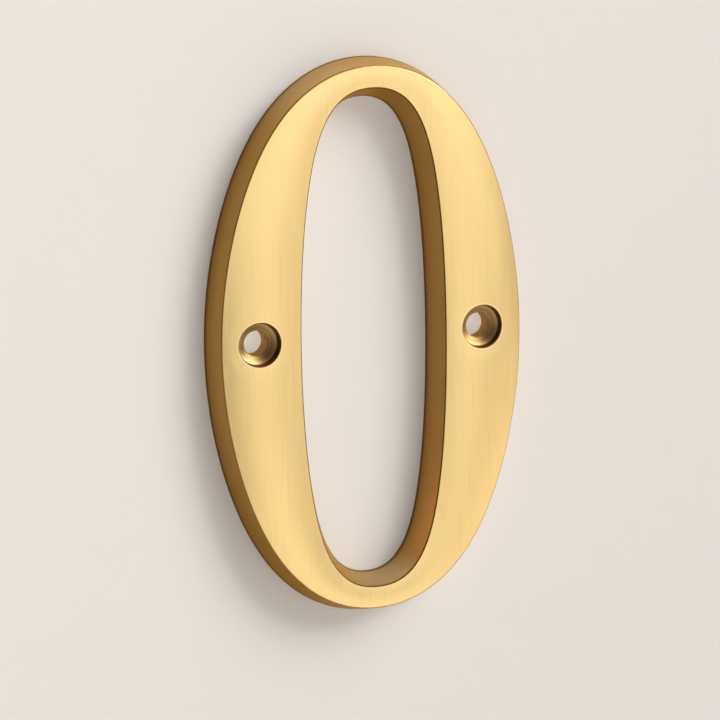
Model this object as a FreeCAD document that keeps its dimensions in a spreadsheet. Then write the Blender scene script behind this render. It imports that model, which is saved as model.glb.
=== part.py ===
# Door number 0: one brass casting with a crowned face, sloping sides and two screw holes.
# Frame: X to the right, Z up, the face looks along -Y, and the flat back lies in the plane Y = 0.
# The origin is the point on the back midway between the two screw holes. Lengths are in mm.
import FreeCAD, Part
import math
import os
import Sketcher

doc = FreeCAD.newDocument("door_number_zero")

# Driving dimensions
sheet = doc.addObject("Spreadsheet::Sheet", "sizes")
dimensions = [
    ("numeral_high", 102.0, "height over the back edge, a 4 inch numeral"),
    ("numeral_wide", 62.5, "width over the back edge"),
    ("back_wide_ratio", 0.754, "outline's corners sideways on the back, share of half the width"),
    ("back_high_ratio", 0.846, "outline's corners upright on the back, share of half the height"),
    ("front_wide_ratio", 0.772, "outline's corners sideways at the face, share of half the width"),
    ("front_high_ratio", 0.86, "outline's corners upright at the face, share of half the height"),
    ("side_stroke", 18.95, "stroke at the two sides, measured on the back"),
    ("end_stroke", 7.25, "stroke at the top and the bottom, measured on the back"),
    ("counter_wide_ratio", 0.843, "sideways place of the counter's corners, share of half its width"),
    ("counter_high_ratio", 0.93, "upright place of the counter's corners, share of half its height"),
    ("side_draft", 22.2, "slope of the outer edge at the sides, degrees"),
    ("end_draft", 13.3, "slope of the outer edge at the top and the bottom, degrees"),
    ("counter_side_draft", 22.5, "slope of the counter's wall at the sides, degrees"),
    ("counter_end_draft", 19.0, "slope of the counter's wall at the top and the bottom, degrees"),
    ("crown_high", 5.6, "thickness at the crest of the crowned face"),
    ("crown_radius", 30.5, "radius of the face across the stroke"),
    ("crest_inset_side", 10.3, "crest to the back edge at the sides"),
    ("crest_inset_end", 2.8, "crest to the back edge at the top and the bottom"),
    ("cut_clearance", 2.0, "how far the walls and the crown are drawn past the surface that trims them"),
    ("arris_radius", 0.3, "rounding that polishing leaves on the front edges"),
    ("hole_inset", 9.3, "screw holes' axes to the back edge at the sides, before their shift"),
    ("hole_shift", 0.55, "the holes' midpoint lies this far left of the numeral's middle"),
    ("hole_rise", 0.85, "the holes lie this far above the numeral's middle"),
    ("bore_wide", 4.6, "clearance bore for the screw's shank"),
    ("sink_wide", 7.8, "sink for the screw's head"),
    ("sink_lip", 1.4, "straight wall of the sink, below the crest of the face"),
    ("sink_angle", 118.0, "cone under the straight wall, degrees, as a drill leaves it"),
    ("rim_radius", 0.2, "rounding that polishing leaves on the rims of the sinks"),
]
for row, (alias, size, meaning) in enumerate(dimensions, start=1):
    sheet.set("A%d" % row, alias)
    sheet.set("B%d" % row, "%g" % size)
    sheet.setAlias("B%d" % row, alias)
    sheet.set("C%d" % row, meaning)
doc.recompute()

# Where a sketch's points start before its dimensions place them
near = sheet.get("numeral_wide") / 3
far = sheet.get("numeral_wide") / 2


def new_body(label):
    """An empty body at the origin."""
    body = doc.addObject("PartDesign::Body", label)
    body.Label = label
    body.Placement = FreeCAD.Placement()
    return body


def front_sketch(body, name, depth, right="sizes.hole_shift", down="sizes.hole_rise"):
    """A sketch parallel to the back, this far in front of it, centred on the numeral's own middle."""
    front_plane = [f for f in body.Origin.OriginFeatures if f.Role == "XZ_Plane"][0]
    sketch = body.newObject("Sketcher::SketchObject", name)
    sketch.AttachmentSupport = [(front_plane, "")]
    sketch.MapMode = "FlatFace"
    sketch.setExpression("AttachmentOffset.Base.x", right)
    sketch.setExpression("AttachmentOffset.Base.y", f"0 - {down}")
    sketch.setExpression("AttachmentOffset.Base.z", depth)
    return sketch


def bind(sketch, kind, places, size):
    """A driving dimension of a sketch, tied to the sheet."""
    number = sketch.addConstraint(Sketcher.Constraint(kind, *places, near))
    sketch.setExpression("Constraints[%d]" % number, size)


def add_oval(sketch, half_wide, half_high, round_wide, round_high, grow="0", starts_left=False):
    """A closed smooth curve with eight poles, alike in its four quarters.

    The curve reaches half_wide and half_high, and the two round values place its corner poles.
    grow moves every pole outwards along the curve's normal. The curve starts on the right, or on
    the left, so that the seams of two surfaces that cross lie apart.
    """
    side = f"({half_wide}) * (3 - {round_wide}) / 2"
    end = f"({half_high}) * (3 - {round_high}) / 2"
    lean = f"sqrt(pow({side}; 2) + pow({end}; 2))"
    corner_wide = f"({half_wide}) * {round_wide} + ({grow}) * ({end}) / {lean}"
    corner_high = f"({half_high}) * {round_high} + ({grow}) * ({side}) / {lean}"
    start = [(far, 0), (near, near), (0, far), (-near, near),
             (-far, 0), (-near, -near), (0, -far), (near, -near)]
    turn = -1 if starts_left else 1
    curve = Part.BSplineCurve()
    curve.buildFromPoles([FreeCAD.Vector(turn * x, turn * y, 0) for x, y in start], True, 3)
    first = sketch.addGeometry(curve)
    sketch.exposeInternalGeometry(first)
    pole = [first + 1 + k for k in range(len(start))]
    across, upright = -1, -2
    sketch.addConstraint(Sketcher.Constraint("PointOnObject", pole[0], 3, across))
    sketch.addConstraint(Sketcher.Constraint("PointOnObject", pole[2], 3, upright))
    for one, other, axis in ((0, 4, upright), (1, 3, upright),
                             (1, 7, across), (2, 6, across), (3, 5, across)):
        sketch.addConstraint(Sketcher.Constraint("Symmetric", pole[one], 3, pole[other], 3, axis))
    middle = (-1, 1)
    for number, kind, size in ((0, "DistanceX", f"{side} + {grow}"), (2, "DistanceY", f"{end} + {grow}"),
                               (1, "DistanceX", corner_wide), (1, "DistanceY", corner_high)):
        reach = (pole[number], 3)
        bind(sketch, kind, reach + middle if starts_left else middle + reach, size)


def outline(name, depth, place):
    """The outer edge of the casting at one depth. Its wall slopes in towards the face."""
    sketch = front_sketch(numeral, name, depth)
    add_oval(sketch,
             f"sizes.numeral_wide / 2 - ({depth}) * tan(sizes.side_draft)",
             f"sizes.numeral_high / 2 - ({depth}) * tan(sizes.end_draft)",
             f"sizes.{place}_wide_ratio", f"sizes.{place}_high_ratio")
    return sketch


def counter(name, depth):
    """The opening of the numeral at one depth. Its wall slopes out towards the face."""
    sketch = front_sketch(numeral, name, depth)
    add_oval(sketch,
             f"sizes.numeral_wide / 2 - sizes.side_stroke + ({depth}) * tan(sizes.counter_side_draft)",
             f"sizes.numeral_high / 2 - sizes.end_stroke + ({depth}) * tan(sizes.counter_end_draft)",
             "sizes.counter_wide_ratio", "sizes.counter_high_ratio")
    return sketch


def crown_depth(offset):
    """How far the crowned face stands before the back, at this distance from its crest."""
    return f"sizes.crown_high - sizes.crown_radius + sqrt(pow(sizes.crown_radius; 2) - pow({offset}; 2))"


def crown_line(name, offset):
    """A contour of the crowned face: the crest line, moved outwards by the offset."""
    sketch = front_sketch(crown, name, crown_depth(offset))
    add_oval(sketch,
             "sizes.numeral_wide / 2 - sizes.crest_inset_side",
             "sizes.numeral_high / 2 - sizes.crest_inset_end",
             "(sizes.back_wide_ratio + sizes.counter_wide_ratio) / 2",
             "(sizes.back_high_ratio + sizes.counter_high_ratio) / 2",
             grow=offset, starts_left=True)
    return sketch


# Crowned face: contours from beyond the outer edge, over the crest, to inside the counter
crown = new_body("crown")
inwards = "(sizes.side_stroke - sizes.crest_inset_side)"
outwards = f"(max(sizes.crest_inset_side; {inwards}) + sizes.cut_clearance)"
contours = [
    crown_line("crown_outermost", outwards),
    crown_line("crown_outer", f"({outwards} / 2)"),
    crown_line("crown_crest", "0"),
    crown_line("crown_inner", f"(0 - {inwards} / 2)"),
    crown_line("crown_innermost", f"(0 - {inwards})"),
]
crown_base = crown.newObject("PartDesign::Pad", "crown_base")
crown_base.Profile = contours[0]
crown_base.Reversed = True
crown_base.setExpression("Length", crown_depth(outwards))
doc.recompute()
crown_face = crown.newObject("PartDesign::AdditiveLoft", "crown_face")
crown_face.Profile = contours[0]
crown_face.Sections = contours[1:]
doc.recompute()

# Ring: the two sloping walls, from the back to clear of the crest
numeral = new_body("numeral_zero")
above = "(sizes.crown_high + sizes.cut_clearance)"
edge_wall = numeral.newObject("PartDesign::AdditiveLoft", "edge_wall")
edge_wall.Profile = outline("edge_back", "0", "back")
edge_wall.Sections = [outline("edge_front", above, "front")]
edge_wall.Ruled = True
doc.recompute()
counter_cut = numeral.newObject("PartDesign::SubtractiveLoft", "counter_cut")
counter_cut.Profile = counter("counter_back", "0")
counter_cut.Sections = [counter("counter_front", above)]
counter_cut.Ruled = True
doc.recompute()

# The crown takes the ring down to its face
face_cut = numeral.newObject("PartDesign::Boolean", "face_cut")
face_cut.Type = "Common"
face_cut.addObject(crown)
doc.recompute()

# Screw holes: clearance bores through the casting, each with a drilled sink for the screw's head
half_spacing = "sizes.numeral_wide / 2 - sizes.hole_inset"
hole_marks = front_sketch(numeral, "hole_marks", "sizes.crown_high", right="0", down="0")
for side in (-1, 1):
    centre = FreeCAD.Vector(side * near, 0, 0)
    circle = Part.Circle(centre, FreeCAD.Vector(0, 0, 1), sheet.get("bore_wide") / 2)
    mark = hole_marks.addGeometry(circle)
    hole_marks.addConstraint(Sketcher.Constraint("PointOnObject", mark, 3, -1))
    ends = (-1, 1, mark, 3) if side > 0 else (mark, 3, -1, 1)
    bind(hole_marks, "DistanceX", ends, half_spacing)
    bind(hole_marks, "Radius", (mark,), "sizes.bore_wide / 2")
doc.recompute()
screw_holes = numeral.newObject("PartDesign::Hole", "screw_holes")
screw_holes.Profile = hole_marks
screw_holes.DepthType = "ThroughAll"
screw_holes.DrillPoint = "Flat"
screw_holes.HoleCutType = "Counterdrill"
screw_holes.setExpression("Diameter", "sizes.bore_wide")
screw_holes.setExpression("HoleCutDiameter", "sizes.sink_wide")
screw_holes.setExpression("HoleCutDepth", "sizes.sink_lip")
screw_holes.setExpression("HoleCutCountersinkAngle", "sizes.sink_angle")
doc.recompute()

# Polished front edges: the long edges that the crowned face makes with the two walls
front_edges = ["Edge%d" % number for number, edge in enumerate(screw_holes.Shape.Edges, start=1)
               if edge.BoundBox.YMax < 0 and edge.Length > sheet.get("numeral_wide")]
polished_edges = numeral.newObject("PartDesign::Fillet", "polished_edges")
polished_edges.Base = (screw_holes, front_edges)
polished_edges.setExpression("Radius", "sizes.arris_radius")
doc.recompute()


def is_rim(edge):
    """Whether an edge runs round the mouth of a screw hole."""
    touching = 0.01
    lip_foot = sheet.get("sink_lip") - sheet.get("crown_high")
    axis = sheet.get("numeral_wide") / 2 - sheet.get("hole_inset")
    return all(point.y < lip_foot - touching
               and abs(math.hypot(abs(point.x) - axis, point.z) - sheet.get("sink_wide") / 2) < touching
               for point in edge.discretize(3))


# Polished rims: where the face runs into the two sinks
rims = ["Edge%d" % number for number, edge in enumerate(polished_edges.Shape.Edges, start=1)
        if is_rim(edge)]
polished_rims = numeral.newObject("PartDesign::Fillet", "polished_rims")
polished_rims.Base = (polished_edges, rims)
polished_rims.setExpression("Radius", "sizes.rim_radius")
doc.recompute()

# Checks, then the file for the one casting
failed = [item.Name for item in doc.Objects if "Invalid" in item.State or "Error" in item.State]
casting = numeral.Shape
if failed or casting.isNull() or not casting.isValid() or len(casting.Solids) != 1:
    raise RuntimeError("the model did not build: %s" % failed)
os.makedirs("parts", exist_ok=True)
casting.exportStep("parts/%s.step" % numeral.Label)
box = casting.optimalBoundingBox(False)
print("%s: %.1f x %.2f x %.1f mm, %.0f cubic mm"
      % (numeral.Label, box.XLength, box.YLength, box.ZLength, casting.Volume))
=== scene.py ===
import math

import bmesh
import bpy
from mathutils import Matrix, Vector

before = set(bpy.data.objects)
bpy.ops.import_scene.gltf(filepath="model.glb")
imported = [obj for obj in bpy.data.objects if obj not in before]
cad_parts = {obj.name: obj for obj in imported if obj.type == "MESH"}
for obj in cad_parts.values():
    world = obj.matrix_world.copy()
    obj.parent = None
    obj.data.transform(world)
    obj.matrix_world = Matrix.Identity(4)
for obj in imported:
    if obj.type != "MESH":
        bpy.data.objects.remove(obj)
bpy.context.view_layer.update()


# The camera
# It stands in front of the numeral, to its left and a little above it, behind a long lens, so that
# the outer edge shows on the left and the counter's wall on the right.
MM = 0.001
SENSOR = 36.0
PICTURE = 720
FOCUS_PIXELS = 3568.5
AZIMUTH, ELEVATION, ROLL = (math.radians(angle) for angle in (-23.633, 9.916, -0.692))
STAND_BACK = 649.93 * MM
AIM_RIGHT, AIM_UP = -0.669 * MM, -4.430 * MM
ring_middle = Vector((0.55, 0, -0.85)) * MM

backwards = Vector((math.sin(AZIMUTH) * math.cos(ELEVATION),
                    -math.cos(AZIMUTH) * math.cos(ELEVATION),
                    math.sin(ELEVATION)))
level = Vector((math.cos(AZIMUTH), math.sin(AZIMUTH), 0))
lean = Matrix.Rotation(ROLL, 3, backwards)
rightwards = lean @ level
upwards = lean @ backwards.cross(level)
lens_place = ring_middle + backwards * STAND_BACK + rightwards * AIM_RIGHT + upwards * AIM_UP

camera = bpy.data.objects.new("camera", bpy.data.cameras.new("camera"))
camera.data.sensor_width = SENSOR
camera.data.lens = FOCUS_PIXELS / PICTURE * SENSOR
camera.data.clip_start = 0.01
camera.data.clip_end = 20
camera.matrix_world = (Matrix.Translation(lens_place)
                       @ Matrix((rightwards, upwards, backwards)).transposed().to_4x4())
bpy.context.scene.collection.objects.link(camera)
bpy.context.scene.camera = camera
bpy.context.scene.view_settings.view_transform = "Standard"


# The casting
# The numeral is one piece of solid brass, cast, then linished upright on its crowned face. Its walls
# and the insides of its two screw holes are darkened with painted shade, and the walls are painted lighter
# where they face up. Screws through them fix it to the door.
HOLE_PLACE = 21.95 * MM
SINK_RADIUS = 3.9 * MM
BORE_RADIUS = 2.3 * MM


class Shade:
    """A socket of a material's nodes. Arithmetic on it adds Math nodes, and node() adds any other."""

    def __init__(self, tree, socket=None):
        self.tree = tree
        self.socket = socket

    def node(self, kind, settings, values, output=0):
        """One node: its settings first, then the values or the links of its sockets."""
        made = self.tree.nodes.new("ShaderNode" + kind)
        for name, setting in settings.items():
            setattr(made, name, setting)
        for name, value in values.items():
            if isinstance(value, Shade):
                self.tree.links.new(value.socket, made.inputs[name])
            else:
                made.inputs[name].default_value = value
        return Shade(self.tree, made.outputs[output])

    def feed(self, name, entry):
        """Leads this value into one of the nodes that the material starts with."""
        self.tree.links.new(self.socket, self.tree.nodes[name].inputs[entry])

    def maths(self, operation, *values):
        return self.node("Math", {"operation": operation}, dict(enumerate(values)))

    def __add__(self, other):
        return self.maths("ADD", self, other)

    def __sub__(self, other):
        return self.maths("SUBTRACT", self, other)

    def __rsub__(self, other):
        return self.maths("SUBTRACT", other, self)

    def __mul__(self, other):
        return self.maths("MULTIPLY", self, other)

    def __pow__(self, other):
        return self.maths("POWER", self, other)

    def __abs__(self):
        return self.maths("ABSOLUTE", self)

    __radd__ = __add__
    __rmul__ = __mul__

    def ramp(self, low, high):
        """0 below low, 1 above high and smooth between."""
        return self.node("MapRange", {"interpolation_type": "SMOOTHSTEP"},
                         {"Value": self, "From Min": low, "From Max": high})

    def mix(self, one, other):
        """One colour passing into another where this share rises. A plain colour is three numbers."""
        one, other = (paint if isinstance(paint, Shade) else (*paint, 1) for paint in (one, other))
        return self.node("Mix", {"data_type": "RGBA"}, {0: self, 6: one, 7: other}, 2)


brass = bpy.data.materials.new("brass")
brass.use_nodes = True
shader = brass.node_tree.nodes["Principled BSDF"]
shader.inputs["Anisotropic"].default_value = 0.5
shader.inputs["Specular Tint"].default_value = (1.0, 0.78, 0.45, 1)
tree = Shade(brass.node_tree)
place = tree.node("TexCoord", {}, {}, "Object")
normal = tree.node("TexCoord", {}, {}, "Normal")
across, depth, upright = (tree.node("SeparateXYZ", {}, {"Vector": place}, axis) for axis in "XYZ")
facing, lifting = (tree.node("SeparateXYZ", {}, {"Vector": normal}, axis) for axis in "YZ")
on_wall = facing.ramp(-0.84, -0.70)
on_back = facing.ramp(0.8, 0.95)
not_back = 1 - on_back

# The linished face: hair lines that stand upright, broader streaks and soft cloudy patches.
streaks, bands, clouds = (
    tree.node("TexNoise", {}, {
        "Vector": tree.node("Mapping", {}, {"Vector": place, "Scale": (fine, fine, long)}),
        "Scale": 1.0, "Detail": 2.0})
    for fine, long in ((3800, 60), (900, 25), (120, 45)))
shine = 0.85 + streaks * 0.14 + bands * 0.05 + clouds * 0.10

# The screw holes: sinks with the rings that the drill left, sinks and bores darkened with painted shade,
# dark painted shade along their edges, and a thin painted highlight where the face's polish rounds the
# rim.
reach = ((abs(across) - HOLE_PLACE) ** 2 + upright ** 2) ** 0.5
in_hole = (1 - reach.ramp(SINK_RADIUS - 0.05 * MM, SINK_RADIUS + 0.1 * MM)) * not_back
in_sink = reach.ramp(BORE_RADIUS - 0.1 * MM, BORE_RADIUS + 0.1 * MM)
rings = tree.node("TexNoise", {"noise_dimensions": "1D"},
                  {"W": reach * 1900, "Scale": 1.0, "Detail": 1.0})
sink_edge = 1 - abs(reach - SINK_RADIUS).ramp(0.08 * MM, 0.22 * MM)
bore_edge = 1 - abs(reach - (BORE_RADIUS + 0.15 * MM)).ramp(0.03 * MM, 0.11 * MM)
# A thin painted highlight just outside each rim.
painted_rim_highlight = 1 - abs(reach - (SINK_RADIUS + 0.35 * MM)).ramp(0.04 * MM, 0.16 * MM)

# The arrises: painted shade, as a dark line round the counter and a brown one round the outer edge.
outwards = tree.node("VectorMath", {"operation": "DOT_PRODUCT"}, {0: place, 1: normal}, "Value")
arris = facing.ramp(-0.955, -0.92) * (1 - facing.ramp(-0.55, -0.45)) * (1 - in_hole)
inner_arris = arris * (1 - outwards.ramp(-0.001, 0.0))
outer_arris = arris - inner_arris
# Painted shade along the inner arris and the edges of the sinks and bores.
painted_edge_shade = (inner_arris + (sink_edge + 0.7 * bore_edge) * not_back).ramp(0, 1)

# The foot of the walls: painted shade where they meet the door.
painted_contact_shade = on_wall * (1 - in_hole) * depth.ramp(-0.9 * MM, -0.2 * MM)

# Painted shade and light on the walls: darker than the face, and lighter where they face up.
sides_with_painted_light = lifting.ramp(0.45, 1.0).mix((0.44, 0.237, 0.068), (0.66, 0.455, 0.235))
colour = on_wall.mix((0.91, 0.655, 0.285), sides_with_painted_light)
colour = on_back.mix(colour, (0.60, 0.40, 0.17))
colour = (painted_rim_highlight * not_back * 0.5).mix(colour, (1.0, 0.82, 0.48))
# The sinks and bores are darkened with painted shade; the rings in the sinks are the drill's.
sink_rings_and_shade = rings.ramp(0.3, 0.7).mix((0.38, 0.22, 0.07), (0.58, 0.39, 0.17))
colour = in_hole.mix(colour, in_sink.mix((0.36, 0.20, 0.07), sink_rings_and_shade))
colour = (outer_arris * 0.9).mix(colour, (0.36, 0.16, 0.03))
colour = painted_edge_shade.mix(colour, (0.15, 0.055, 0.006))
colour = (painted_contact_shade * 0.8).mix(colour, (0.15, 0.07, 0.015))
grey = tree.node("CombineColor", {}, {"Red": shine, "Green": shine, "Blue": shine})
colour = tree.node("Mix", {"data_type": "RGBA", "blend_type": "MULTIPLY"}, {0: 1.0, 6: colour, 7: grey}, 2)
colour.feed("Principled BSDF", "Base Color")
metal = 1 - (painted_edge_shade * 0.9 + outer_arris * 0.7).ramp(0, 1)
metal.feed("Principled BSDF", "Metallic")
rough = 0.26 + streaks * 0.08 + on_wall * 0.04 + on_back * 0.15 + painted_edge_shade * 0.3 + in_hole * 0.18
rough.feed("Principled BSDF", "Roughness")
dish = reach.ramp(3.6 * MM, 6.5 * MM) * not_back
relief = streaks * 0.003 * MM + in_hole * rings * 0.03 * MM + dish * 0.08 * MM
bump = tree.node("Bump", {}, {"Height": relief, "Distance": 1.0, "Strength": 1.0})
bump.feed("Principled BSDF", "Normal")

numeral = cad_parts["numeral_zero"]
numeral.data.materials.clear()
numeral.data.materials.append(brass)


# The wall and the floor
# The numeral hangs on a flat wall with matt pale paint, and painted light makes the paint a little
# lighter to the upper left. The floor lies half a metre below. The wall is clear from behind, so that the
# numeral's back shows.
WALL_GAP = 0.05 * MM


def sheet(name, seat):
    """A flat painted sheet: a level square two metres wide, stretched and taken to its seat."""
    mesh = bpy.data.meshes.new(name)
    shape = bmesh.new()
    bmesh.ops.create_grid(shape, x_segments=1, y_segments=1, size=1, matrix=seat)
    shape.to_mesh(mesh)
    shape.free()
    paint = bpy.data.materials.new(name)
    paint.use_nodes = True
    coat = paint.node_tree.nodes["Principled BSDF"]
    coat.inputs["Base Color"].default_value = (0.83, 0.79, 0.748, 1)
    coat.inputs["Roughness"].default_value = 0.9
    mesh.materials.append(paint)
    thing = bpy.data.objects.new(name, mesh)
    bpy.context.scene.collection.objects.link(thing)
    return Shade(paint.node_tree, coat.outputs["BSDF"])


sheet("floor", Matrix.Translation((0, 0, -0.5)) @ Matrix.Diagonal((3, 3, 1, 1)))
matt = sheet("wall", Matrix.Translation((0, -WALL_GAP, 0.75))
             @ Matrix.Rotation(math.radians(90), 4, "X") @ Matrix.Diagonal((2, 1.25, 1, 1)))
place = matt.node("TexCoord", {}, {}, "Object")
across, upright = (matt.node("SeparateXYZ", {}, {"Vector": place}, axis) for axis in "XZ")
# Painted light: the wall is painted lighter to the upper left.
painted_light_tone = (0.35 * upright - across).ramp(-0.12, 0.12)
painted_light_tone.mix((0.764, 0.727, 0.688), (0.90, 0.857, 0.81)).feed("Principled BSDF", "Base Color")
behind = matt.node("NewGeometry", {}, {}, "Backfacing")
clear = matt.node("BsdfTransparent", {}, {})
matt.node("MixShader", {}, {0: behind, 1: matt, 2: clear}).feed("Material Output", "Surface")


# The lamps
# Soft square lamps face the numeral. Strong ones three metres away to the upper right throw its
# shadow to the left, weak ones nearer by light its face and fill the shadow, and one lights its back.
def softbox(name, azimuth, elevation, away, power):
    """A soft square lamp that faces the numeral and fills 22 degrees as seen from it."""
    azimuth, elevation = math.radians(azimuth), math.radians(elevation)
    lamp = bpy.data.lights.new(name, "AREA")
    lamp.size = 2 * away * math.tan(math.radians(11))
    lamp.energy = power
    thing = bpy.data.objects.new(name, lamp)
    thing.location = away * Vector((math.sin(azimuth) * math.cos(elevation),
                                    -math.cos(azimuth) * math.cos(elevation),
                                    math.sin(elevation)))
    thing.rotation_mode = "QUATERNION"
    thing.rotation_quaternion = thing.location.to_track_quat("Z", "Y")
    thing.visible_camera = False
    bpy.context.scene.collection.objects.link(thing)


for number, (azimuth, elevation, power) in enumerate((
        (60, 26, 44.8), (55, 50, 26.3), (40, 38, 9.3), (50, 26, 6.5), (65, 38, 3.9))):
    softbox(f"key_{number}", azimuth, elevation, 3.0, power)
for number, (azimuth, elevation, power) in enumerate((
        (-8, 4, 0.84), (14, 4, 0.92), (36, 4, 0.92), (58, 4, 0.45), (14, -18, 0.42), (-8, -18, 0.13))):
    softbox(f"fill_{number}", azimuth, elevation, 1.2, power)
softbox("back", 140, -5, 1.2, 5)

# A narrow beam from beside the lens goes through each bore and lights the wall behind it.
BEAM_AWAY = 150 * MM
for name, side in (("left", -1), ("right", 1)):
    lamp = bpy.data.lights.new(f"beam_{name}", "SPOT")
    lamp.spot_size = math.radians(2.0)
    lamp.spot_blend = 0.4
    lamp.shadow_soft_size = 0
    lamp.energy = 0.43
    beam = bpy.data.objects.new(lamp.name, lamp)
    bore = Vector((side * HOLE_PLACE, -1.6 * MM, 0))
    towards = (lens_place - bore).normalized()
    beam.location = bore + towards * BEAM_AWAY
    beam.rotation_mode = "QUATERNION"
    beam.rotation_quaternion = towards.to_track_quat("Z", "Y")
    bpy.context.scene.collection.objects.link(beam)


# The world
# A pale studio all round. The lens sees it as bright as the wall, but it gives almost no light.
world = bpy.data.worlds.new("world")
world.use_nodes = True
world.node_tree.nodes["Background"].inputs["Color"].default_value = (0.97, 0.95, 0.92, 1)
sky = Shade(world.node_tree)
seen = sky.node("LightPath", {}, {}, "Is Camera Ray")
sky.node("MapRange", {}, {"Value": seen, "To Min": 0.01, "To Max": 0.85}).feed("Background", "Strength")
bpy.context.scene.world = world
